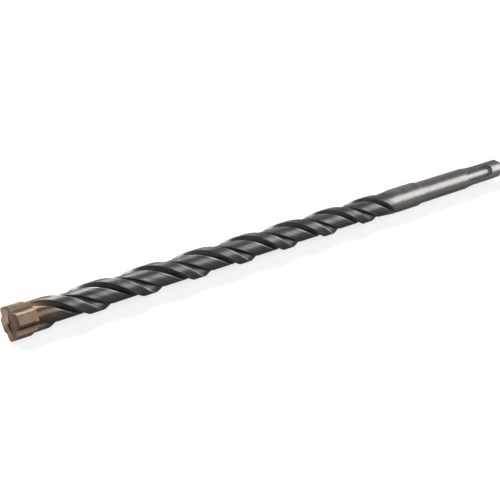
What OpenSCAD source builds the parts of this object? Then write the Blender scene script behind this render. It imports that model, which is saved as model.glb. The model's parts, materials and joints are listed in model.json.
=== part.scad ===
// Hammer drill bit for masonry with a slotted quick-change shank.
// One forged and milled steel body carries a four-cutter carbide head, brazed on face to face.
// The bit lies along X. The origin is the centre of the shank's end face, the tip is at -X,
// and it lies on its flutes with the head's wings at 45 degrees to the ground, so +Z is up.

/* [Overall] */
// Length from the tip to the shank's end face
overall_length = 310; // [200:1:360]
// Roll of the bit about its own axis, measured from a main wing standing straight up
roll = 45; // [0:1:90]

/* [Carbide head] */
// Cutting diameter over the wings
head_d = 12.4; // [11.8:0.1:14]
// Length of the carbide from the tip to the brazed face
head_length = 11.7; // [9:0.1:16]
// Width of each wing's outer land
wing_width = 4.3; // [3:0.1:5]
// Distance of the two side wings' flat lands from the axis
side_land_r = 4.9; // [4.7:0.05:5.4]
// Width of the side wings' flat lands
side_land_width = 3.7; // [3:0.1:4.1]
// Depth of the ground bevel along each edge of a side land
side_land_bevel = 0.65; // [0.3:0.05:0.9]
// Distance of the channel floor between two wings from the axis
head_channel_r = 4.25; // [4:0.05:4.5]
// Angle of the channel floor from the middle of a main wing
head_channel_angle = 41; // [38:1:46]
// Width of the ground facet along each edge of a land
land_facet = 0.45; // [0.2:0.05:0.8]
// Drop of the land facet below the land
land_facet_drop = 0.7; // [0.3:0.05:1]
// Slope of the main cutting edges away from the tip, in degrees
main_edge_slope = 12.5; // [8:0.5:20]
// Offset of each main cutting edge from the middle of its wing
main_edge_offset = 0.2; // [0:0.1:0.8]
// Clearance angle behind the main cutting edges, in degrees
main_clearance = 38; // [25:1:45]
// Angle of the chipping facet before the main cutting edges, in degrees
main_rake = 52; // [40:1:65]
// Reach of the main cutters' ridge from the middle of its wing to its leading side
ridge_front_width = 1.0; // [0.9:0.05:1.6]
// Reach of the main cutters' ridge from the middle of its wing to its trailing side
ridge_back_width = 1.6; // [1.2:0.05:2]
// Setback of the shoulders and side cutters behind the tip, at the axis
side_setback = 1.7; // [1.4:0.1:2.4]
// Slope of the shoulders and side cutters away from the axis, in degrees
side_edge_slope = 16.5; // [5:0.5:22]
// Length of the tapered back end of the carbide
head_taper_length = 1.2; // [0.8:0.1:3]

/* [Fluted shaft] */
// Diameter over the main ridges
flute_d = 11.2; // [10.6:0.1:11.8]
// Length of one full turn of the spiral
flute_lead = 53.4; // [36:0.2:80]
// Angle from a wing's middle to the front edge of its main ridge's land, in degrees
land_front_angle = 25; // [16:1:28]
// Angle from a wing's middle to the back edge of its main ridge's land, in degrees
land_back_angle = 17; // [12:1:26]
// Angle of the steep front flank of a main ridge, in degrees
front_flank_angle = 17; // [10:1:20]
// Angle of the slanted back flank of a main ridge, in degrees
back_flank_angle = 28; // [20:1:32]
// Angle of the narrow step groove behind the back flank, in degrees
step_groove_angle = 6; // [4:1:9]
// Angle that a low ridge's outer land covers, in degrees
low_ridge_angle = 77; // [60:1:80]
// Diameter over the low ridges
low_ridge_d = 8.9; // [8.4:0.1:9.6]
// Diameter at the bottom of the valleys
valley_d = 7.5; // [7:0.05:8.3]
// Diameter at the bottom of the step grooves
step_groove_d = 7.2; // [6.8:0.1:8.2]
// Diameter over the low ridges where they leave the head
low_ridge_start_d = 9.2; // [9:0.1:9.8]
// Length over which the ridges take up the spiral behind the head
twist_in_length = 7; // [4:0.5:12]
// Length over which the low ridges sink to their own diameter
sink_length = 14; // [8:0.5:20]
// Length over which the flutes run out into the neck
run_out_length = 15; // [6:0.5:20]
// Shift of the flutes' end towards the tip for each degree of section behind the front flank
run_out_skew = 0.09; // [0.04:0.01:0.11]

/* [Neck and shank] */
// Length of the plain neck between the flutes and the collar
neck_length = 13; // [8:0.5:40]
// Diameter of the neck between the flutes and the shank
neck_d = 11.1; // [10.6:0.1:11.6]
// Length of the shank from its end face to the collar
shank_length = 68; // [60:1:72]
// Length of the chamfer that leads from the neck to the shank
collar_length = 3; // [1:0.1:5]
// Diameter of the shank
shank_d = 10; // [9.9:0.05:10.1]
// Length of the tapered end of the shank
end_taper_length = 4.2; // [1:0.1:6]
// Diameter of the shank's end face
end_face_d = 7.2; // [6:0.1:9]
// Radius of the rounding between the taper and the end face
end_round_r = 0.8; // [0.4:0.1:1.2]

/* [Shank grooves] */
// Diameter of the chuck's locking balls
lock_ball_d = 7; // [6:0.1:7.4]
// Depth of the two closed locking grooves
lock_depth = 1.95; // [1.4:0.05:2.2]
// Length of a locking groove at the surface
lock_length = 21.7; // [16:0.1:24]
// Distance from the end face to a locking groove
lock_setback = 11.5; // [8:0.1:14]
// Width of the two open drive slots
slot_width = 3.7; // [3:0.1:4.2]
// Depth of the drive slots
slot_depth = 1.5; // [1:0.05:1.8]
// Length of a drive slot at the surface
slot_length = 31; // [26:0.5:36]
// Radius of the disc cutter that leaves the slot's curved end
slot_cutter_r = 9; // [6:0.5:14]

/* [Hidden] */
$fn = 96;

head_r = head_d / 2;
flute_r = flute_d / 2;
neck_r = neck_d / 2;
shank_r = shank_d / 2;
end_face_r = end_face_d / 2;
ball_r = lock_ball_d / 2;
wing_half = wing_width / 2;
half_lead = flute_lead / 2;
side_half = side_land_width / 2;
// Channel floor's place, along the main wings and along the side wings
channel_x = head_channel_r * cos(head_channel_angle);
channel_y = head_channel_r * sin(head_channel_angle);
collar_start = overall_length - shank_length - collar_length;
// Distance from the tip to the end of the milled spiral
flute_end = collar_start - neck_length;

// Overshoot of a cutter past the surface that it leaves
past = 1;
// Side of a block that is larger than the head
block = 4 * max(head_d, head_length);
// How far the spiral's last ring lies below the neck's surface and inside its face
tuck = 0.02;
tuck_in = 0.5;
// Distance between two rings of the spiral, about
ring_pitch = 2;

function mix(a, b, t) = a + (b - a) * t;
function clamp(t) = min(1, max(0, t));
function ease(t) = clamp(t) * clamp(t) * (3 - 2 * clamp(t));

// Places a piece that was made with the tip at the origin and the axis along +Z.
module lay_down() {
    translate([-overall_length, 0, 0])
        rotate([0, 90, 0])
            rotate([0, 0, 180 - roll])
                children();
}

// Carbide head. The main wings lie along X here, and the side wings along Y.

// Plan of the two main wings: round lands, ground facets and slanted flanks down to the channels.
module main_plan() {
    land_x = sqrt(head_r * head_r - wing_half * wing_half);
    facet_x = land_x - land_facet_drop;
    facet_y = wing_half + land_facet;
    for (side = [0, 180]) rotate(side)
        polygon([
            [0, -channel_y],
            [channel_x, -channel_y],
            [facet_x, -facet_y],
            [land_x, -wing_half],
            [head_r + past, -wing_half],
            [head_r + past, wing_half],
            [land_x, wing_half],
            [facet_x, facet_y],
            [channel_x, channel_y],
            [0, channel_y]
        ]);
}

// Plan of the two side wings: flat lands with a ground bevel along each edge.
module side_plan() {
    for (side = [90, -90]) rotate(side)
        polygon([
            [0, -channel_x],
            [channel_y, -channel_x],
            [side_land_r - side_land_bevel, -side_half - side_land_bevel],
            [side_land_r, -side_half],
            [side_land_r, side_half],
            [side_land_r - side_land_bevel, side_half + side_land_bevel],
            [channel_y, channel_x],
            [0, channel_x]
        ]);
}

// Block that takes away all material before the plane z = slope_x * x + slope_y * y + start.
module face_cut(slope_x, slope_y, start) {
    tilt_y = -atan(slope_x);
    tilt_x = atan(slope_y * cos(tilt_y));
    translate([0, 0, start])
        rotate([tilt_x, tilt_y, 0])
            translate([-block / 2, -block / 2, -block])
                cube([block, block, block]);
}

// Plan of the narrow ridge of the two main cutters. The bit turns towards -Y at +X.
module ridge_plan() {
    for (side = [0, 180]) rotate(side)
        translate([0, -ridge_front_width])
            square([head_r + past, ridge_front_width + ridge_back_width]);
}

// The ridge of the two main cutters: each edge is on the leading side of its wing's middle, with a
// chipping facet before it and clearance behind it.
module main_ridge() {
    clearance = tan(main_clearance);
    rake = tan(main_rake);
    edge = tan(main_edge_slope);
    difference() {
        linear_extrude(head_length) intersection() {
            main_plan();
            ridge_plan();
        }
        for (side = [0, 180]) rotate([0, 0, side]) {
            face_cut(edge, clearance, 0);
            face_cut(edge, -rake, -(rake + clearance) * main_edge_offset);
        }
    }
}

// The cross-shaped block behind the main cutters. Its two shoulders slope to the side cutters,
// and a bevel at the back of each side land leads down to the steel.
module shoulder_block() {
    edge = tan(side_edge_slope);
    taper_start = head_length - head_taper_length;
    taper_drop = side_land_r - low_ridge_start_d / 2;
    difference() {
        linear_extrude(head_length) union() {
            main_plan();
            side_plan();
        }
        for (side = [90, -90]) rotate([0, 0, side]) {
            face_cut(edge, 0, side_setback);
            translate([side_land_r, 0, taper_start])
                rotate([0, -atan(taper_drop / head_taper_length), 0])
                    translate([0, -block / 2, -past])
                        cube([block, block, block]);
        }
    }
}

// Envelope that gives the lands their round outer face and the taper at the back.
module head_envelope() {
    taper_start = head_length - head_taper_length;
    rotate_extrude()
        polygon([
            [0, -past],
            [head_r, -past],
            [head_r, taper_start],
            [flute_r, head_length],
            [0, head_length]
        ]);
}

module carbide_head() {
    color([0.50, 0.41, 0.33])
        lay_down()
            intersection() {
                union() {
                    main_ridge();
                    shoulder_block();
                }
                head_envelope();
            }
}

// Spiral of the shaft. Angles run from the middle of a main ridge's land, over half a turn.

// Each corner of the section is [angle, radius]. A stretch between two corners has its own steps.
function corners() =
    let (
        front_foot = land_front_angle + front_flank_angle,
        back_top = 180 - land_back_angle,
        back_foot = back_top - back_flank_angle,
        low_end = back_foot - step_groove_angle,
        low_start = low_end - low_ridge_angle
    )
    [
        [-land_back_angle, flute_r],
        [land_front_angle, flute_r],
        [front_foot, valley_d / 2],
        [low_start, low_ridge_d / 2],
        [low_end, low_ridge_d / 2],
        [back_foot, step_groove_d / 2],
        [back_top, flute_r]
    ];

// Number of steps over the land, front flank, valley, low ridge, step groove and back flank.
steps = [5, 3, 3, 6, 2, 4];

// Half a turn of the section: straight between its corners.
half_section = [
    for (k = [0:len(steps) - 1], i = [0:steps[k] - 1])
        let (
            from = corners()[k],
            to = corners()[k + 1],
            t = i / steps[k]
        )
        [mix(from[0], to[0], t), mix(from[1], to[1], t)]
];

section = [
    for (side = [0, 180], p = half_section) [p[0] + side, p[1]]
];

// Section right behind the head: ridges in line with the main and side wings, and four channels.
function winged_r(angle) =
    let (
        off = abs((angle + 90) % 180 - 90),
        main_edge = asin(wing_half / flute_r),
        side_edge = 90 - asin(side_half / side_land_r),
        fall = ease((off - main_edge) / (head_channel_angle - main_edge)),
        rise = ease((off - head_channel_angle) / (side_edge - head_channel_angle))
    )
    off < head_channel_angle
        ? mix(flute_r, head_channel_r, fall)
        : mix(head_channel_r, low_ridge_start_d / 2, rise);

// Turn of the ridges at a station, in degrees: none in the head, then easing into the spiral.
function turn(a) =
    let (
        into = a - head_length,
        eased = into * into / (2 * twist_in_length),
        full = into - twist_in_length / 2
    )
    180 / half_lead * (into < twist_in_length ? eased : full);

// Radius at a station: winged behind the head, spiral on the shaft, full and round at the neck.
function shaft_r(a, p) =
    let (
        sunk = mix(winged_r(p[0]), p[1], ease((a - head_length) / sink_length)),
        behind = (p[0] + land_back_angle) % 180 - land_back_angle - land_front_angle,
        end = flute_end - run_out_skew * max(0, behind),
        out = clamp((a - end + run_out_length) / run_out_length),
        lift = (flute_r - step_groove_d / 2) * (1 - sqrt(1 - out * out)),
        full = mix(flute_r, neck_r - tuck, out)
    )
    min(full, sunk + lift);

ring_count = ceil((flute_end + tuck_in - head_length) / ring_pitch);
function station(j) = mix(head_length, flute_end + tuck_in, j / ring_count);

// The spiral as one closed skin: rings of points, with a fan across each end.
module spiral() {
    n = len(section);
    rings = [
        for (j = [0:ring_count], p = section)
            let (a = station(j), r = shaft_r(min(a, flute_end), p), w = p[0] + turn(a))
            [r * cos(w), r * sin(w), a]
    ];
    last = ring_count * n;
    sides = [
        for (j = [0:ring_count - 1], i = [0:n - 1])
            let (p = j * n + i, q = j * n + (i + 1) % n)
            each [[p, p + n, q], [q, p + n, q + n]]
    ];
    ends = [
        [for (i = [0:n - 1]) i],
        [for (i = [0:n - 1]) last + n - 1 - i]
    ];
    polyhedron(points = rings, faces = concat(sides, ends), convexity = 8);
}

// Neck, collar and plain shank as one turned piece, with a rounded taper at its end.
module turned_end() {
    taper_start = overall_length - end_taper_length;
    round_start = end_face_r - end_round_r;
    rotate_extrude()
        union() {
            polygon([
                [0, flute_end],
                [neck_r, flute_end],
                [neck_r, collar_start],
                [shank_r, collar_start + collar_length],
                [shank_r, taper_start],
                [end_face_r, overall_length - end_round_r],
                [round_start, overall_length - end_round_r],
                [0, overall_length - end_round_r]
            ]);
            translate([0, overall_length - end_round_r])
                square([round_start, end_round_r]);
            intersection() {
                translate([round_start, overall_length - end_round_r])
                    circle(r = end_round_r);
                translate([round_start, overall_length - end_round_r])
                    square([end_round_r, end_round_r]);
            }
        }
}

// A closed locking groove along +Y: a ball's path with a round end.
module lock_groove() {
    centre_r = shank_r - lock_depth + ball_r;
    rise = centre_r - shank_r;
    reach = sqrt(ball_r * ball_r - rise * rise);
    back = overall_length - lock_setback - reach;
    front = overall_length - lock_setback - lock_length + reach;
    translate([0, centre_r, front]) cylinder(r = ball_r, h = back - front);
    for (end = [front, back]) translate([0, centre_r, end]) sphere(r = ball_r);
}

// An open drive slot along +X: flat floor, parallel walls and a curved end left by the cutter.
module drive_slot() {
    floor_r = shank_r - slot_depth;
    reach = sqrt(slot_cutter_r * slot_cutter_r - pow(slot_cutter_r - slot_depth, 2));
    straight = overall_length - slot_length + reach;
    translate([floor_r, -slot_width / 2, straight])
        cube([slot_depth + past, slot_width, slot_length]);
    translate([floor_r + slot_cutter_r, 0, straight])
        rotate([90, 0, 0])
            cylinder(r = slot_cutter_r, h = slot_width, center = true);
}

module steel_body() {
    color([0.45, 0.45, 0.46])
        lay_down()
            difference() {
                union() {
                    spiral();
                    turned_end();
                }
                for (side = [0, 180]) rotate([0, 0, side]) {
                    lock_groove();
                    drive_slot();
                }
            }
}

steel_body();
carbide_head();
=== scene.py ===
"""Dresses the masonry drill bit: fluted steel body and brazed four-cutter carbide head."""

import json
import logging
import math
from dataclasses import dataclass, field
from enum import Enum

import bmesh
import bpy
import numpy as np
from mathutils import Matrix, Vector

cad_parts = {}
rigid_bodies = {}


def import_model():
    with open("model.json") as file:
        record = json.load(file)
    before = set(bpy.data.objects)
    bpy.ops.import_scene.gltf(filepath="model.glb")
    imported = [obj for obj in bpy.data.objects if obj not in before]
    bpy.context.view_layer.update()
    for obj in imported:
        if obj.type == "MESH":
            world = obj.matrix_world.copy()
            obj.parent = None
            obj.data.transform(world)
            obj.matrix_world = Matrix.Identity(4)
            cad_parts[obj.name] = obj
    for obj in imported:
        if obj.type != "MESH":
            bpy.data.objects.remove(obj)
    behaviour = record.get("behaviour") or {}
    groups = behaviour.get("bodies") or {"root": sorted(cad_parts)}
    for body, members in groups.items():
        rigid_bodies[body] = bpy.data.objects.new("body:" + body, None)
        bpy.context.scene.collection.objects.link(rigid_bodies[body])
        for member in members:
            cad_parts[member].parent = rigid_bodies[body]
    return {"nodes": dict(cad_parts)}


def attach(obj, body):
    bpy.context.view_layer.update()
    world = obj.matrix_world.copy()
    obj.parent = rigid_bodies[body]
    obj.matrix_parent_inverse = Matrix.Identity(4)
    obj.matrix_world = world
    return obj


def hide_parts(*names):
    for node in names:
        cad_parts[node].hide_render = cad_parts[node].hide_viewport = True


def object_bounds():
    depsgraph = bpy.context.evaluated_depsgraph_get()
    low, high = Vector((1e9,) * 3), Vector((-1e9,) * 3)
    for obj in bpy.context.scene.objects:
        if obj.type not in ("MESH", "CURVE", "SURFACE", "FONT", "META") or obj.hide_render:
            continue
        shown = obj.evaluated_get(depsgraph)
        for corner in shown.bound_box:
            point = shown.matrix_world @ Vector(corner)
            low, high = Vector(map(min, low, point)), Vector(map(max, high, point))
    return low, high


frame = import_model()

log = logging.getLogger("drill_bit")
logging.basicConfig(level=logging.INFO, format="%(message)s")

CAD_BOUNDS = [[float(c) for c in corner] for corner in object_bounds()]

MM = 0.001
BIT_LENGTH = 310.0
NECK_START = 226.0
NECK_R = 5.55

UNIT = (0.0, 1.0)
NOISE_SPAN = (0.3, 0.7)

Colour = tuple[float, float, float]
Place = tuple[float, float, float]
Span = tuple[float, float]
Socket = bpy.types.NodeSocket


class Part(Enum):
    """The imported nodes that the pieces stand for."""

    BODY = "steel_body"
    HEAD = "carbide_head"


class Slot(Enum):
    """The record's material slots."""

    STEEL = "steel"
    CARBIDE = "carbide"


class Mark(Enum):
    """Attributes of the steel body that its finish reads: shares from 0 to 1, and the grain's vector."""

    GROUND = "ground"
    # Black oxide skin on the flutes' flanks, plus painted shade in their valleys and in the shank's groove
    # walls.
    SCALE_AND_SHADE = "scale_and_shade"
    # Painted highlight lines along the flutes' edges.
    EDGE_SHEEN = "edge_sheen"
    HEAT = "heat_tint"
    GRAIN = "grain"


def ease(t: np.ndarray) -> np.ndarray:
    """Smooth step from 0 to 1: 3 t^2 - 2 t^3, with t held between 0 and 1."""
    t = np.clip(t, 0.0, 1.0)
    return t * t * (3.0 - 2.0 * t)


def grid_faces(rows: int, columns: int) -> np.ndarray:
    """Quads of a grid that is closed along its columns.

    Args:
        rows: number of rings.
        columns: number of points in each ring.

    Returns:
        One row of four vertex numbers for each quad.
    """
    ring = np.arange(rows - 1)[:, None] * columns
    here = np.arange(columns)[None, :]
    after = (here + 1) % columns
    quads = [ring + here, ring + after, ring + columns + after, ring + columns + here]
    return np.stack(quads, axis=-1).reshape(-1, 4)


def make_mesh(name: str, points: np.ndarray, quads: np.ndarray, caps: list[list[int]]) -> bpy.types.Object:
    """Puts points and faces into a new mesh object at the origin.

    Args:
        name: name of the object and its mesh.
        points: vertex places in metres, one row each.
        quads: four vertex numbers for each quad.
        caps: vertex numbers of each end face.

    Returns:
        The linked object, with smooth shading.
    """
    mesh = bpy.data.meshes.new(name)
    mesh.from_pydata(points.tolist(), [], quads.tolist() + caps)
    mesh.update()
    mesh.shade_smooth()
    piece = bpy.data.objects.new(name, mesh)
    bpy.context.scene.collection.objects.link(piece)
    return piece


def add_numbers(piece: bpy.types.Object, mark: Mark, values: np.ndarray) -> None:
    """Stores one number per vertex, for the materials to read."""
    layer = piece.data.attributes.new(mark.value, "FLOAT", "POINT")
    layer.data.foreach_set("value", values.astype(np.float32).ravel())


def add_vectors(piece: bpy.types.Object, mark: Mark, values: np.ndarray) -> None:
    """Stores one vector per vertex, for the materials to read."""
    layer = piece.data.attributes.new(mark.value, "FLOAT_VECTOR", "POINT")
    layer.data.foreach_set("vector", values.astype(np.float32).ravel())


def join(tree: bpy.types.NodeTree, source: Socket | float, target: Socket) -> None:
    """Links a socket to an input, or sets the input to a number."""
    if isinstance(source, (int, float)):
        target.default_value = source
    else:
        tree.links.new(source, target)


@dataclass
class Placement:
    """Where the bit lies: made along +Z from its tip, then laid along X and rolled."""

    length: float = BIT_LENGTH
    roll: float = 45.0

    def lay(self, x: np.ndarray, y: np.ndarray, along: np.ndarray) -> np.ndarray:
        """Turns the section's plane coordinates and the distance from the tip into places in metres.

        The section is turned by 180 degrees less the roll, then the axis is laid along +X:
        world = (along - length, section y, minus section x).

        Args:
            x: first coordinate in the section's plane, in millimetres.
            y: second coordinate in the section's plane.
            along: distance from the tip.

        Returns:
            Places in the shared frame, with the three coordinates last.
        """
        turn = math.radians(180.0 - self.roll)
        across = x * math.cos(turn) - y * math.sin(turn)
        sideways = x * math.sin(turn) + y * math.cos(turn)
        return np.stack([along - self.length, sideways, -across], axis=-1) * MM


@dataclass
class Spiral:
    """The fluted shaft's section and how it turns, in millimetres and degrees."""

    head_length: float = 11.7
    wing_half: float = 2.15
    side_half: float = 1.85
    side_land_r: float = 4.9
    channel_r: float = 4.25
    channel_angle: float = 41.0
    ridge_r: float = 5.6
    low_ridge_r: float = 4.45
    low_ridge_start_r: float = 4.6
    valley_r: float = 3.75
    step_groove_r: float = 3.6
    half_lead: float = 26.7
    land_front: float = 25.0
    land_back: float = 17.0
    front_flank: float = 17.0
    back_flank: float = 28.0
    step_groove: float = 6.0
    low_ridge: float = 77.0
    twist_in: float = 7.0
    sink: float = 14.0
    end: float = NECK_START
    run_out: float = 15.0
    run_out_skew: float = 0.09
    neck_r: float = NECK_R
    corner_round: float = 1.6
    corner_samples: int = 9
    corner_fade: float = 1.2
    corner_columns: tuple[float, ...] = (-2.4, -1.2, -0.4, 0.4, 1.2, 2.4)
    column_step: float = 6.0
    seam_gap: float = 0.2
    # Where the painted highlight lines lie: offset and width from the land's back edge and the low ridge's
    # front.
    land_edge_sheen: Span = (1.0, 2.6)
    low_ridge_edge_sheen: Span = (1.5, 2.8)

    def corner_list(self) -> tuple[np.ndarray, np.ndarray]:
        """Angles and radii of the section's corners over half a turn, from a land's trailing end."""
        front_foot = self.land_front + self.front_flank
        back_top = 180.0 - self.land_back
        back_foot = back_top - self.back_flank
        low_end = back_foot - self.step_groove
        low_start = low_end - self.low_ridge
        angles = [-self.land_back, self.land_front, front_foot, low_start, low_end, back_foot, back_top]
        radii = [
            self.ridge_r, self.ridge_r, self.valley_r, self.low_ridge_r,
            self.low_ridge_r, self.step_groove_r, self.ridge_r,
        ]
        return np.array(angles), np.array(radii)

    def columns(self) -> np.ndarray:
        """Angles of the mesh's columns over a whole turn, closer together at each corner."""
        angles, _ = self.corner_list()
        at_corners = (angles[:-1, None] + np.array(self.corner_columns)[None, :]).ravel()
        between = []
        for start, stop in zip(angles[:-1], angles[1:]):
            count = max(1, int((stop - start) / self.column_step))
            between.append(np.linspace(start, stop, count + 2)[1:-1])
        half = np.unique(np.round(np.concatenate([at_corners] + between), 3))
        half = half[(half >= angles[0]) & (half < angles[0] + 180.0 - self.seam_gap)]
        return np.concatenate([half, half + 180.0])

    def section(self, angle: np.ndarray) -> np.ndarray:
        """Radius over the spiral's section: straight between corners, rounded by a moving mean."""
        angles, radii = self.corner_list()
        spread = np.linspace(-self.corner_round, self.corner_round, self.corner_samples)
        weight = 1.0 - np.abs(spread) / (self.corner_round * self.corner_fade)
        shifted = (angle[..., None] + spread - angles[0]) % 180.0 + angles[0]
        value = np.interp(shifted, angles, radii)
        return (value * weight).sum(-1) / weight.sum()

    def winged(self, angle: np.ndarray) -> np.ndarray:
        """Radius right behind the head: four ridges in line with the wings."""
        off = np.abs((angle + 90.0) % 180.0 - 90.0)
        main_edge = math.degrees(math.asin(self.wing_half / self.ridge_r))
        side_edge = 90.0 - math.degrees(math.asin(self.side_half / self.side_land_r))
        fall = ease((off - main_edge) / (self.channel_angle - main_edge))
        rise = ease((off - self.channel_angle) / (side_edge - self.channel_angle))
        main = self.ridge_r + (self.channel_r - self.ridge_r) * fall
        side = self.channel_r + (self.low_ridge_start_r - self.channel_r) * rise
        return np.where(off < self.channel_angle, main, side)

    def scale_and_shade_share(self, angle: np.ndarray) -> np.ndarray:
        """Share of black oxide skin and painted shade over the section: the steep flanks, valleys and step
        grooves.

        Args:
            angle: angles on the section, in degrees.

        Returns:
            The share at each angle, straight between stations a few degrees from each corner.
        """
        corners, _ = self.corner_list()
        back, front, foot, low_start, low_end, groove, top = corners
        stations = [
            (back, 0.0), (front - 3.0, 0.0), (front + 1.0, 1.0), (foot, 1.0),
            (low_start - 3.0, 0.55), (low_start + 3.0, 0.0), (low_end - 8.0, 0.0), (low_end, 0.9),
            (groove, 1.0), (groove + 5.0, 0.5), (groove + 16.0, 0.1), (top, 0.0),
        ]
        angles, shares = zip(*stations)
        around = (angle - back) % 180.0 + back
        return np.interp(around, angles, shares)

    def edge_sheen_share(self, angle: np.ndarray) -> np.ndarray:
        """Share of painted highlight: narrow bright lines along each land's back edge and each low ridge's
        front.
        """
        corners, _ = self.corner_list()
        share = np.zeros_like(angle)
        for corner, (offset, width) in ((corners[0], self.land_edge_sheen), (corners[3], self.low_ridge_edge_sheen)):
            away = np.abs((angle - corner - offset + 90.0) % 180.0 - 90.0)
            share = np.maximum(share, 1.0 - ease(away / width))
        return share

    def turn(self, along: np.ndarray) -> np.ndarray:
        """Turn of the ridges at a distance from the tip: a parabola, then a straight rise."""
        into = along - self.head_length
        eased = into * into / (2 * self.twist_in)
        full = into - self.twist_in / 2
        return 180.0 / self.half_lead * np.where(into < self.twist_in, eased, full)

    def radius(self, along: np.ndarray, angle: np.ndarray) -> np.ndarray:
        """Radius of the shaft: winged behind the head, spiral along it, round at the neck.

        Args:
            along: distance from the tip, as a column.
            angle: angle on the section, as a row.

        Returns:
            The radius over the whole grid.
        """
        sunk_share = ease((along - self.head_length) / self.sink)
        winged = self.winged(angle)
        sunk = winged + (self.section(angle) - winged) * sunk_share
        behind = (angle + self.land_back) % 180.0 - self.land_back - self.land_front
        end = self.end - self.run_out_skew * np.maximum(behind, 0.0)
        out = np.clip((along - end + self.run_out) / self.run_out, 0.0, 1.0)
        lift = (self.ridge_r - self.step_groove_r) * (1.0 - np.sqrt(1.0 - out * out))
        full = self.ridge_r + (self.neck_r - self.ridge_r) * out
        return np.minimum(full, sunk + lift)


@dataclass
class Shank:
    """The turned end of the bit and its grooves, in millimetres."""

    length: float = BIT_LENGTH
    start: float = NECK_START
    neck_r: float = NECK_R
    collar_start: float = 239.0
    collar_end: float = 242.0
    shank_r: float = 5.0
    taper_length: float = 4.2
    end_face_r: float = 3.6
    end_round_r: float = 0.8
    ball_r: float = 3.5
    lock_depth: float = 1.95
    lock_length: float = 21.7
    lock_setback: float = 11.5
    slot_width: float = 3.7
    slot_depth: float = 1.5
    slot_length: float = 31.0
    slot_cutter_r: float = 9.0
    slot_facing: float = 0.1

    def turned(self, along: np.ndarray) -> np.ndarray:
        """Radius of the turned form: neck, collar, shank, taper and rounded rim."""
        stations = [
            self.start, self.collar_start, self.collar_end,
            self.length - self.taper_length, self.length - self.end_round_r,
        ]
        radii = [self.neck_r, self.neck_r, self.shank_r, self.shank_r, self.end_face_r]
        straight = np.interp(along, stations, radii)
        into = np.clip(along - (self.length - self.end_round_r), 0.0, self.end_round_r)
        rim = np.sqrt(self.end_round_r**2 - into**2) - self.end_round_r
        return straight + rim

    def ball_centre_r(self) -> float:
        """Distance of the locking ball's centre from the axis."""
        return self.shank_r - self.lock_depth + self.ball_r

    def lock_reach(self, along: np.ndarray) -> np.ndarray:
        """Radius of the ball's path at a station: whole along the groove, a circle at its ends."""
        reach = math.sqrt(self.ball_r**2 - (self.ball_centre_r() - self.shank_r) ** 2)
        back = self.length - self.lock_setback - reach
        front = self.length - self.lock_setback - self.lock_length + reach
        beyond = np.maximum(np.maximum(front - along, along - back), 0.0)
        return np.sqrt(np.maximum(self.ball_r**2 - beyond**2, 0.0))

    def radius(self, along: np.ndarray, angle: np.ndarray) -> np.ndarray:
        """Radius with the grooves cut: the nearest wall along each ray from the axis.

        A ball's circle of radius q, its centre at distance c and a ray at angle w meet at
        c cos w - sqrt(q^2 - c^2 sin^2 w). A slot's floor at distance f is met at f / cos w.

        Args:
            along: distance from the tip, as a column.
            angle: angle round the axis over the whole grid, in degrees.

        Returns:
            The radius over the whole grid.
        """
        result = self.turned(along)
        centre_r = self.ball_centre_r()
        reach = self.lock_reach(along)
        floor_r = self.shank_r - self.slot_depth
        straight = self.length - self.slot_length + math.sqrt(
            self.slot_cutter_r**2 - (self.slot_cutter_r - self.slot_depth) ** 2
        )
        ahead = np.clip(straight - along, 0.0, self.slot_cutter_r)
        floor = floor_r + self.slot_cutter_r - np.sqrt(self.slot_cutter_r**2 - ahead**2)
        for side in (0.0, 180.0):
            lock = np.radians((angle - 90.0 - side + 180.0) % 360.0 - 180.0)
            inside = reach**2 - (centre_r * np.sin(lock)) ** 2
            ball = centre_r * np.cos(lock) - np.sqrt(np.maximum(inside, 0.0))
            hit = (inside > 0.0) & (np.cos(lock) > 0.0)
            result = np.where(hit, np.minimum(result, ball), result)
            slot = np.radians((angle - side + 180.0) % 360.0 - 180.0)
            facing = np.cos(slot) > self.slot_facing
            flat = floor / np.where(facing, np.cos(slot), 1.0)
            in_slot = facing & (np.abs(flat * np.sin(slot)) < self.slot_width / 2)
            result = np.where(in_slot, np.minimum(result, flat), result)
        return result


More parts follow.
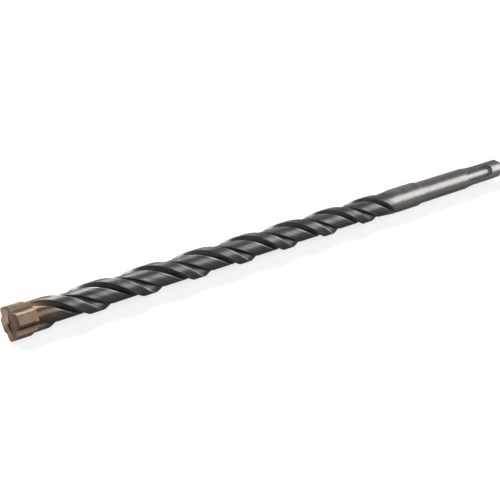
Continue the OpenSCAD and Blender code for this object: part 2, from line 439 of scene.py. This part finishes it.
class Shading:
    """A new node material, and short ways to add nodes to it."""

    def __init__(self, name: str) -> None:
        """Makes an empty material with its output."""
        self.material = bpy.data.materials.new(name)
        self.material.use_nodes = True
        self.tree = self.material.node_tree
        self.tree.nodes.clear()
        self.output = self.node("ShaderNodeOutputMaterial")

    def node(self, kind: str) -> bpy.types.Node:
        """Adds a node of a kind."""
        return self.tree.nodes.new(kind)

    def join(self, source: Socket | float, target: Socket) -> None:
        """Links a socket to an input, or sets the input to a number."""
        join(self.tree, source, target)

    def principled(self, metal: float) -> bpy.types.Node:
        """Adds the Principled shader as the material's surface."""
        shader = self.node("ShaderNodeBsdfPrincipled")
        shader.inputs["Metallic"].default_value = metal
        self.join(shader.outputs["BSDF"], self.output.inputs["Surface"])
        return shader

    def coordinates(self) -> Socket:
        """The piece's own coordinates in metres."""
        return self.node("ShaderNodeTexCoord").outputs["Object"]

    def noise_on(self, vector: Socket, detail: float) -> Socket:
        """Noise on a vector.

        Args:
            vector: where the noise is read, one cell per unit.
            detail: number of finer layers.

        Returns:
            The noise's value, around 0.5.
        """
        texture = self.node("ShaderNodeTexNoise")
        texture.inputs["Scale"].default_value = 1.0
        texture.inputs["Detail"].default_value = detail
        self.join(vector, texture.inputs["Vector"])
        return texture.outputs["Fac"]

    def noise(self, cells: Colour, detail: float) -> Socket:
        """Noise on Object coordinates, with a number of cells per metre along each axis."""
        mapping = self.node("ShaderNodeMapping")
        mapping.inputs["Scale"].default_value = cells
        self.join(self.coordinates(), mapping.inputs["Vector"])
        return self.noise_on(mapping.outputs["Vector"], detail)

    def streaks(self, detail: float) -> Socket:
        """Noise on the piece's own grain, so that it runs with the flutes and round the shank."""
        grain = self.node("ShaderNodeAttribute")
        grain.attribute_name = Mark.GRAIN.value
        return self.noise_on(grain.outputs["Vector"], detail)

    def ramp(self, value: Socket, low: Colour, high: Colour) -> Socket:
        """Colour between two colours as a noise value goes through its usual span."""
        node = self.node("ShaderNodeValToRGB")
        for element, place, colour in zip(node.color_ramp.elements, NOISE_SPAN, (low, high)):
            element.position = place
            element.color = (*colour, 1.0)
        self.join(value, node.inputs["Fac"])
        return node.outputs["Color"]

    def blend(self, share: Socket, low: Socket, high: Socket) -> Socket:
        """Mixes two colours by a share from 0 to 1."""
        node = self.node("ShaderNodeMix")
        node.data_type = "RGBA"
        self.join(share, node.inputs["Factor"])
        self.join(low, node.inputs["A"])
        self.join(high, node.inputs["B"])
        return node.outputs["Result"]

    def level(self, value: Socket, source: Span, target: Span) -> Socket:
        """Maps a value from one range to another, and holds it inside."""
        node = self.node("ShaderNodeMapRange")
        node.inputs["From Min"].default_value = source[0]
        node.inputs["From Max"].default_value = source[1]
        node.inputs["To Min"].default_value = target[0]
        node.inputs["To Max"].default_value = target[1]
        self.join(value, node.inputs["Value"])
        return node.outputs["Result"]

    def arithmetic(self, operation: str, first: Socket | float, second: Socket | float) -> Socket:
        """Puts two values through one arithmetic operation."""
        node = self.node("ShaderNodeMath")
        node.operation = operation
        self.join(first, node.inputs[0])
        self.join(second, node.inputs[1])
        return node.outputs["Value"]

    def mark(self, name: Mark) -> Socket:
        """The value of one of the piece's own attributes."""
        node = self.node("ShaderNodeAttribute")
        node.attribute_name = name.value
        return node.outputs["Fac"]

    def from_axis(self) -> tuple[Socket, Socket]:
        """Distance from the bit's axis, and place along it, both in metres."""
        parts = self.node("ShaderNodeSeparateXYZ")
        self.join(self.coordinates(), parts.inputs["Vector"])
        flat = self.node("ShaderNodeCombineXYZ")
        self.join(parts.outputs["Y"], flat.inputs["Y"])
        self.join(parts.outputs["Z"], flat.inputs["Z"])
        length = self.node("ShaderNodeVectorMath")
        length.operation = "LENGTH"
        self.join(flat.outputs["Vector"], length.inputs[0])
        return length.outputs["Value"], parts.outputs["X"]

    def bump(self, height: Socket, depth: float) -> Socket:
        """Normal of a bumpy surface with a depth in metres."""
        node = self.node("ShaderNodeBump")
        node.inputs["Distance"].default_value = depth
        self.join(height, node.inputs["Height"])
        return node.outputs["Normal"]


@dataclass(frozen=True)
class MilledSteel:
    """Forged and milled steel: grey ridges, black oxide skin with painted shade in the grooves, painted
    highlight lines on the edges, ground shank, brown by the head.
    """

    name: str = "milled_steel"
    ridge_dark: Colour = (0.044, 0.044, 0.046)
    ridge_light: Colour = (0.140, 0.139, 0.142)
    tint_dark: Colour = (0.088, 0.071, 0.063)
    tint_light: Colour = (0.080, 0.084, 0.081)
    ground_dark: Colour = (0.165, 0.158, 0.155)
    ground_light: Colour = (0.255, 0.247, 0.245)
    stain_dark: Colour = (0.170, 0.152, 0.142)
    stain_light: Colour = (0.225, 0.206, 0.196)
    # Colour of the black oxide skin and of the painted shade in the grooves.
    scale_and_shade_dark: Colour = (0.018, 0.017, 0.017)
    scale_and_shade_light: Colour = (0.040, 0.038, 0.037)
    # Colour of the painted highlight lines on the edges.
    edge_sheen_dark: Colour = (0.26, 0.26, 0.26)
    edge_sheen_light: Colour = (0.48, 0.478, 0.478)
    heat_dark: Colour = (0.085, 0.056, 0.036)
    heat_light: Colour = (0.150, 0.104, 0.072)
    metal: float = 1.0
    ridge_rough: float = 0.39
    ground_rough: float = 0.33
    rough_change: Span = (-0.05, 0.05)
    cloud_cells: Colour = (240.0, 240.0, 240.0)
    cloud_detail: float = 4.0
    patch_cells: Colour = (60.0, 90.0, 90.0)
    patch_detail: float = 2.0
    patch_span: Span = (0.4, 0.7)
    streak_detail: float = 4.0
    ridge_tint: Span = (0.0, 0.6)
    ground_stain: Span = (0.0, 0.8)
    edge_sheen_span: Span = (0.36, 0.54)
    edge_sheen_left: Span = (0.3, 1.0)
    depth: float = 0.00003

    def build(self) -> bpy.types.Material:
        """Makes the material."""
        shading = Shading(self.name)
        shader = shading.principled(self.metal)
        cloud = shading.noise(self.cloud_cells, self.cloud_detail)
        patches = shading.noise(self.patch_cells, self.patch_detail)
        streaks = shading.streaks(self.streak_detail)
        ridge = shading.blend(
            shading.level(patches, self.patch_span, self.ridge_tint),
            shading.ramp(streaks, self.ridge_dark, self.ridge_light),
            shading.ramp(cloud, self.tint_dark, self.tint_light),
        )
        ground = shading.blend(
            shading.level(patches, self.patch_span, self.ground_stain),
            shading.ramp(streaks, self.ground_dark, self.ground_light),
            shading.ramp(cloud, self.stain_dark, self.stain_light),
        )
        colour = shading.blend(shading.mark(Mark.GROUND), ridge, ground)
        heated = shading.ramp(cloud, self.heat_dark, self.heat_light)
        colour = shading.blend(shading.mark(Mark.HEAT), colour, heated)
        # Painted shade over black oxide skin: darkens the flanks, valleys and groove walls.
        scale_and_shade_colour = shading.ramp(cloud, self.scale_and_shade_dark, self.scale_and_shade_light)
        colour = shading.blend(shading.mark(Mark.SCALE_AND_SHADE), colour, scale_and_shade_colour)
        # Painted highlight lines on the edges, broken up by the streaks.
        left = shading.level(streaks, self.edge_sheen_span, self.edge_sheen_left)
        sheen_share = shading.arithmetic("MULTIPLY", shading.mark(Mark.EDGE_SHEEN), left)
        colour = shading.blend(sheen_share, colour, shading.ramp(cloud, self.edge_sheen_dark, self.edge_sheen_light))
        shading.join(colour, shader.inputs["Base Color"])
        rough = shading.level(shading.mark(Mark.GROUND), UNIT, (self.ridge_rough, self.ground_rough))
        rough = shading.arithmetic("ADD", rough, shading.level(cloud, NOISE_SPAN, self.rough_change))
        shading.join(rough, shader.inputs["Roughness"])
        normal = shading.bump(shading.arithmetic("ADD", cloud, streaks), self.depth)
        shading.join(normal, shader.inputs["Normal"])
        return shading.material


@dataclass(frozen=True)
class HeatTintedCarbide:
    """Sintered carbide with a bronze brown tint from the brazing heat, with painted shade deep in the
    channels.
    """

    name: str = "heat_tinted_carbide"
    dark: Colour = (0.110, 0.074, 0.049)
    light: Colour = (0.190, 0.134, 0.095)
    # Painted shade: the colour deep in the channels between the wings.
    channel_shade_dark: Colour = (0.040, 0.027, 0.018)
    channel_shade_light: Colour = (0.080, 0.055, 0.038)
    channel_shade_radii: Span = (0.0043, 0.0049)
    face_places: Span = (-0.3076, -0.3062)
    metal: float = 0.95
    rough: Span = (0.42, 0.54)
    cloud_cells: Colour = (420.0, 420.0, 420.0)
    cloud_detail: float = 4.0
    grain_cells: Colour = (5200.0, 5200.0, 5200.0)
    grain_detail: float = 2.0
    depth: float = 0.00002

    def build(self) -> bpy.types.Material:
        """Makes the material."""
        shading = Shading(self.name)
        shader = shading.principled(self.metal)
        cloud = shading.noise(self.cloud_cells, self.cloud_detail)
        grain = shading.noise(self.grain_cells, self.grain_detail)
        radius, along = shading.from_axis()
        # Painted shade, darker deep in the channels between the wings, behind the front faces.
        deep = shading.level(radius, self.channel_shade_radii, UNIT[::-1])
        behind = shading.level(along, self.face_places, UNIT)
        colour = shading.blend(
            shading.arithmetic("MULTIPLY", deep, behind),
            shading.ramp(cloud, self.dark, self.light),
            shading.ramp(cloud, self.channel_shade_dark, self.channel_shade_light),
        )
        shading.join(colour, shader.inputs["Base Color"])
        shading.join(shading.level(cloud, NOISE_SPAN, self.rough), shader.inputs["Roughness"])
        normal = shading.bump(shading.arithmetic("ADD", cloud, grain), self.depth)
        shading.join(normal, shader.inputs["Normal"])
        return shading.material


@dataclass
class SteelBody:
    """The steel body as one closed surface around the axis, in millimetres and degrees."""

    name: str = "fluted_steel_body"
    place: Placement = field(default_factory=Placement)
    spiral: Spiral = field(default_factory=Spiral)
    shank: Shank = field(default_factory=Shank)
    flute_pitch: float = 0.55
    groove_pitch: float = 0.3
    neck_rings: int = 8
    cone_rings: int = 6
    shank_rings: int = 12
    before_lock: float = 4.0
    rim_setbacks: tuple[float, ...] = (
        4.2, 4.1, 3.6, 3.0, 2.2, 1.5, 1.1, 0.8, 0.6, 0.4, 0.25, 0.12, 0.04, 0.0,
    )
    evening: float = 6.0
    seam: float = 1e-6
    sharp_angle: float = 32.0
    streaks_round: float = 9.0
    streak_length: float = 14.0
    ring_width: float = 0.35
    grain_change: float = 5.0
    # How dark the painted shade and oxide skin in the flutes are.
    scale_and_shade_strength: float = 0.45
    flute_mark_fade: float = 0.8
    # Painted shade on the walls of the shank's grooves: its share, and where it starts and fades.
    wall_shade: float = 0.6
    wall_top: float = 0.12
    wall_foot: float = 0.5
    wall_fade: float = 0.7
    ground_start: float = 15.0
    ground_reach: float = 9.0
    heat_start: float = 2.0
    heat_reach: float = 11.0

    def rings(self) -> np.ndarray:
        """Distances of the rings from the tip: fine in the flutes and grooves, finest at the rim."""
        spiral = self.spiral
        shank = self.shank
        lock_front = shank.length - shank.lock_setback - shank.lock_length - self.before_lock
        return np.concatenate([
            np.arange(spiral.head_length, spiral.end, self.flute_pitch),
            np.linspace(spiral.end, shank.collar_start, self.neck_rings, endpoint=False),
            np.linspace(shank.collar_start, shank.collar_end, self.cone_rings, endpoint=False),
            np.linspace(shank.collar_end, lock_front, self.shank_rings, endpoint=False),
            np.arange(lock_front, shank.length - shank.taper_length, self.groove_pitch),
            shank.length - np.array(self.rim_setbacks),
        ])

    def build(self) -> bpy.types.Object:
        """Carries the section along the axis, ring by ring, and closes both ends.

        Returns:
            The piece, with its finish and the attributes that the finish reads.
        """
        spiral = self.spiral
        shank = self.shank
        rings = self.rings()
        columns = spiral.columns()
        count = len(columns)
        fair = np.arange(count) * 360.0 / count + columns[0]
        along = rings[:, None]
        even = ease((along - spiral.end) / self.evening)
        angle = columns[None, :] * (1.0 - even) + fair[None, :] * even
        world_angle = angle + spiral.turn(np.minimum(along, spiral.end))
        fluted = spiral.radius(np.minimum(along, spiral.end - self.seam), columns[None, :])
        radius = np.where(along < spiral.end, fluted, shank.radius(along, world_angle))
        turn = np.radians(world_angle)
        points = self.place.lay(radius * np.cos(turn), radius * np.sin(turn), along + 0.0 * turn)
        first = list(range(count))[::-1]
        last = [(len(rings) - 1) * count + column for column in range(count)]
        quads = grid_faces(len(rings), count)
        piece = make_mesh(self.name, points.reshape(-1, 3), quads, [first, last])
        depth = np.where(along < spiral.end, 0.0, shank.turned(along) - radius)
        section_angle = columns[None, :] + 0.0 * depth
        self.add_marks(piece, along, section_angle, depth)
        self.add_grain(piece, along, section_angle)
        piece.data.set_sharp_from_angle(angle=math.radians(self.sharp_angle))
        piece.data.materials.append(MilledSteel().build())
        return piece

    def add_marks(
        self, piece: bpy.types.Object, along: np.ndarray, angle: np.ndarray, depth: np.ndarray,
    ) -> None:
        """Gives the finish its marks: where the steel is ground or heat-tinted, where black oxide skin and
        painted shade darken it, and where painted highlight lines brighten it.

        Args:
            piece: the body.
            along: distance of each ring from the tip, as a column.
            angle: angle of each point on the section, over the whole grid.
            depth: depth of each point in the shank's grooves, over the whole grid.
        """
        spiral = self.spiral
        level = 0.0 * depth
        # Painted shade on the walls of the shank's grooves.
        walls = ease(depth / self.wall_top) * (1.0 - ease((depth - self.wall_foot) / self.wall_fade))
        fluted = 1.0 - ease((along - spiral.end + spiral.run_out) / (spiral.run_out * self.flute_mark_fade))
        grown = ease((along - spiral.head_length) / spiral.sink)
        # Black oxide skin with painted shade on the flutes' flanks, valleys and step grooves.
        scale_and_shade = self.scale_and_shade_strength * spiral.scale_and_shade_share(angle) * fluted * grown
        cooled = ease((along - spiral.head_length - self.heat_start) / self.heat_reach)
        ground = ease((along - spiral.end + self.ground_start) / self.ground_reach)
        add_numbers(piece, Mark.GROUND, ground + level)
        add_numbers(piece, Mark.SCALE_AND_SHADE, np.maximum(scale_and_shade, self.wall_shade * walls))
        # Painted highlight lines along the land's back edge and the low ridge's front.
        add_numbers(piece, Mark.EDGE_SHEEN, spiral.edge_sheen_share(angle) * fluted * grown)
        add_numbers(piece, Mark.HEAT, 1.0 - cooled + level)

    def add_grain(self, piece: bpy.types.Object, along: np.ndarray, angle: np.ndarray) -> None:
        """Gives the finish its grain: long streaks with the flutes, and turning rings on the shank.

        Args:
            piece: the body.
            along: distance of each ring from the tip, as a column.
            angle: angle of each point on the section, over the whole grid.
        """
        start = self.spiral.end - self.grain_change
        ringed = ease((along - start) / self.grain_change)
        round_share = self.streaks_round * (1.0 - ringed) + ringed
        lengthwise = along / self.streak_length * (1.0 - ringed) + along / self.ring_width * ringed
        turn = np.radians(angle)
        grain = [round_share * np.cos(turn), round_share * np.sin(turn), lengthwise + 0.0 * turn]
        add_vectors(piece, Mark.GRAIN, np.stack(grain, axis=-1))


@dataclass
class CarbideHead:
    """The brazed carbide head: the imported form, its edges broken and its main lands stepped."""

    name: str = "four_cutter_head"
    node: Part = Part.HEAD
    place: Placement = field(default_factory=Placement)
    weld_distance: float = 0.002
    edge_width: float = 0.09
    edge_segments: int = 2
    edge_angle: float = 14.0
    land_end: float = 9.4
    step_length: float = 0.25
    step_r: float = 5.65

    def step_lands(self, mesh: bpy.types.Mesh) -> None:
        """Ends each main land in a small step down to the steel's ridge.

        The mesh is cut across the axis at both ends of the step. Behind it, each point that lies
        further from the axis than the step's radius is moved straight in to that radius.

        Args:
            mesh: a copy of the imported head, in metres.
        """
        form = bmesh.new()
        form.from_mesh(mesh)
        bmesh.ops.remove_doubles(form, verts=form.verts, dist=self.weld_distance * MM)
        for along in (self.land_end, self.land_end + self.step_length):
            bmesh.ops.bisect_plane(
                form,
                geom=form.verts[:] + form.edges[:] + form.faces[:],
                plane_co=((along - self.place.length) * MM, 0.0, 0.0),
                plane_no=(1.0, 0.0, 0.0),
            )
        form.to_mesh(mesh)
        form.free()
        points = np.empty(len(mesh.vertices) * 3)
        mesh.vertices.foreach_get("co", points)
        points = points.reshape(-1, 3)
        radius = np.hypot(points[:, 1], points[:, 2]) / MM
        middle = self.land_end + self.step_length / 2.0
        outside = (points[:, 0] / MM + self.place.length > middle) & (radius > self.step_r)
        points[outside, 1:] *= (self.step_r / radius[outside])[:, None]
        mesh.vertices.foreach_set("co", points.ravel())
        mesh.update()

    def build(self) -> bpy.types.Object:
        """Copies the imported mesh, steps its lands and breaks its edges.

        Returns:
            The piece, with its finish.
        """
        mesh = frame["nodes"][self.node.value].data.copy()
        mesh.name = self.name
        self.step_lands(mesh)
        packed_normals = mesh.attributes.get("custom_normal")
        if packed_normals is not None:
            mesh.attributes.remove(packed_normals)
        mesh.shade_smooth()
        mesh.materials.clear()
        mesh.materials.append(HeatTintedCarbide().build())
        piece = bpy.data.objects.new(self.name, mesh)
        bpy.context.scene.collection.objects.link(piece)
        bevel = piece.modifiers.new("broken_edges", "BEVEL")
        bevel.width = self.edge_width * MM
        bevel.segments = self.edge_segments
        bevel.limit_method = "ANGLE"
        bevel.angle_limit = math.radians(self.edge_angle)
        normals = piece.modifiers.new("face_normals", "WEIGHTED_NORMAL")
        normals.keep_sharp = True
        return piece


@dataclass(frozen=True)
class Lamp:
    """A rectangular soft lamp, its long side level with the bit, in metres."""

    name: str
    place: Place
    aim: Place
    size: Span
    watts: float

    def build(self) -> None:
        """Makes the lamp and turns it to its aim."""
        data = bpy.data.lights.new(self.name, "AREA")
        data.shape = "RECTANGLE"
        data.size, data.size_y = self.size
        data.energy = self.watts
        lamp = bpy.data.objects.new(self.name, data)
        bpy.context.scene.collection.objects.link(lamp)
        back = (Vector(self.place) - Vector(self.aim)).normalized()
        side = Vector((1.0, 0.0, 0.0))
        side = (side - back * side.dot(back)).normalized()
        up = back.cross(side)
        turned = Matrix((side, up, back)).transposed().to_4x4()
        lamp.matrix_world = Matrix.Translation(self.place) @ turned


@dataclass
class Studio:
    """Camera, floor and soft light, in metres and degrees."""

    camera_place: Place = (-0.59671, -0.28566, 0.28566)
    camera_aim: Place = (-0.18432, -0.00089, -0.00089)
    camera_roll: float = -17.817
    focal_pixels: float = 1430.0
    picture_pixels: float = 500.0
    film_millimetres: float = 36.0
    nearest: float = 0.01
    floor_half: float = 3.0
    floor_colour: Colour = (0.9, 0.9, 0.9)
    floor_white: float = 0.75
    floor_in_gloss: float = 0.06
    room_level: float = 0.4
    room_in_gloss: float = 0.5
    room_white: float = 1.0
    lamps: tuple[Lamp, ...] = (
        Lamp("key_lamp", (0.62, -0.455, 0.485), (-0.05, 0.0, 0.0), (1.3, 0.55), 7.8),
        Lamp("back_lamp", (-0.18, 0.43, 0.44), (-0.20, 0.0, 0.0), (0.75, 0.3), 10.0),
        Lamp("fill_lamp", (-1.25, -0.30, 0.36), (-0.30, 0.0, 0.0), (0.5, 0.5), 9.0),
    )

    def camera(self) -> None:
        """Puts the camera where the picture was taken from."""
        data = bpy.data.cameras.new("camera")
        data.sensor_width = self.film_millimetres
        data.lens = self.film_millimetres * self.focal_pixels / self.picture_pixels
        data.clip_start = self.nearest
        camera = bpy.data.objects.new("camera", data)
        bpy.context.scene.collection.objects.link(camera)
        way = Vector(self.camera_aim) - Vector(self.camera_place)
        level = way.to_track_quat("-Z", "Y").to_matrix()
        rolled = level @ Matrix.Rotation(math.radians(-self.camera_roll), 3, "Z")
        camera.matrix_world = Matrix.Translation(self.camera_place) @ rolled.to_4x4()
        bpy.context.scene.camera = camera

    def floor_finish(self) -> bpy.types.Material:
        """Pale floor that glows white to the camera, less in reflections, and shows shadows."""
        shading = Shading("pale_floor")
        diffuse = shading.node("ShaderNodeBsdfDiffuse")
        diffuse.inputs["Color"].default_value = (*self.floor_colour, 1.0)
        glow = shading.node("ShaderNodeEmission")
        rays = shading.node("ShaderNodeLightPath").outputs
        gloss = shading.arithmetic("MAXIMUM", rays["Is Glossy Ray"], rays["Is Transmission Ray"])
        seen = shading.arithmetic("MAXIMUM", rays["Is Camera Ray"], gloss)
        strength = shading.level(gloss, UNIT, (1.0, self.floor_in_gloss))
        shading.join(strength, glow.inputs["Strength"])
        mix = shading.node("ShaderNodeMixShader")
        shading.join(shading.arithmetic("MULTIPLY", seen, self.floor_white), mix.inputs["Fac"])
        shading.join(diffuse.outputs["BSDF"], mix.inputs[1])
        shading.join(glow.outputs["Emission"], mix.inputs[2])
        shading.join(mix.outputs["Shader"], shading.output.inputs["Surface"])
        return shading.material

    def floor(self) -> None:
        """A wide square floor that the bit lies on."""
        half = self.floor_half
        height = CAD_BOUNDS[0][2]
        corners = [(-half, -half, height), (half, -half, height), (half, half, height), (-half, half, height)]
        floor = make_mesh("floor", np.array(corners), np.array([[0, 1, 2, 3]]), [])
        floor.data.materials.append(self.floor_finish())

    def room(self) -> None:
        """Even pale surroundings, white to the camera."""
        world = bpy.data.worlds.new("surroundings")
        bpy.context.scene.world = world
        world.use_nodes = True
        tree = world.node_tree
        tree.nodes.clear()
        output = tree.nodes.new("ShaderNodeOutputWorld")
        back = tree.nodes.new("ShaderNodeBackground")
        rays = tree.nodes.new("ShaderNodeLightPath")
        strength: Socket | float = self.room_level
        for ray, level in (
            ("Is Transmission Ray", self.room_in_gloss),
            ("Is Glossy Ray", self.room_in_gloss),
            ("Is Camera Ray", self.room_white),
        ):
            node = tree.nodes.new("ShaderNodeMix")
            join(tree, rays.outputs[ray], node.inputs["Factor"])
            join(tree, strength, node.inputs["A"])
            join(tree, level, node.inputs["B"])
            strength = node.outputs["Result"]
        join(tree, strength, back.inputs["Strength"])
        join(tree, back.outputs["Background"], output.inputs["Surface"])

    def build(self) -> None:
        """Sets up the whole studio."""
        self.camera()
        self.floor()
        self.room()
        for lamp in self.lamps:
            lamp.build()
        bpy.context.scene.view_settings.view_transform = "Standard"


def main() -> None:
    """Builds every piece, puts it on the bit's body in place of the imported node it stands for, and sets up
    the studio.
    """
    Studio().build()
    body = SteelBody().build()
    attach(body, "root")
    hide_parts(Part.BODY.value)
    log.info("steel body: %d faces", len(body.data.polygons))
    head = CarbideHead().build()
    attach(head, "root")
    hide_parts(Part.HEAD.value)
    log.info("carbide head: %d faces", len(head.data.polygons))
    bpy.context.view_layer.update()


if __name__ == "__main__":
    main()
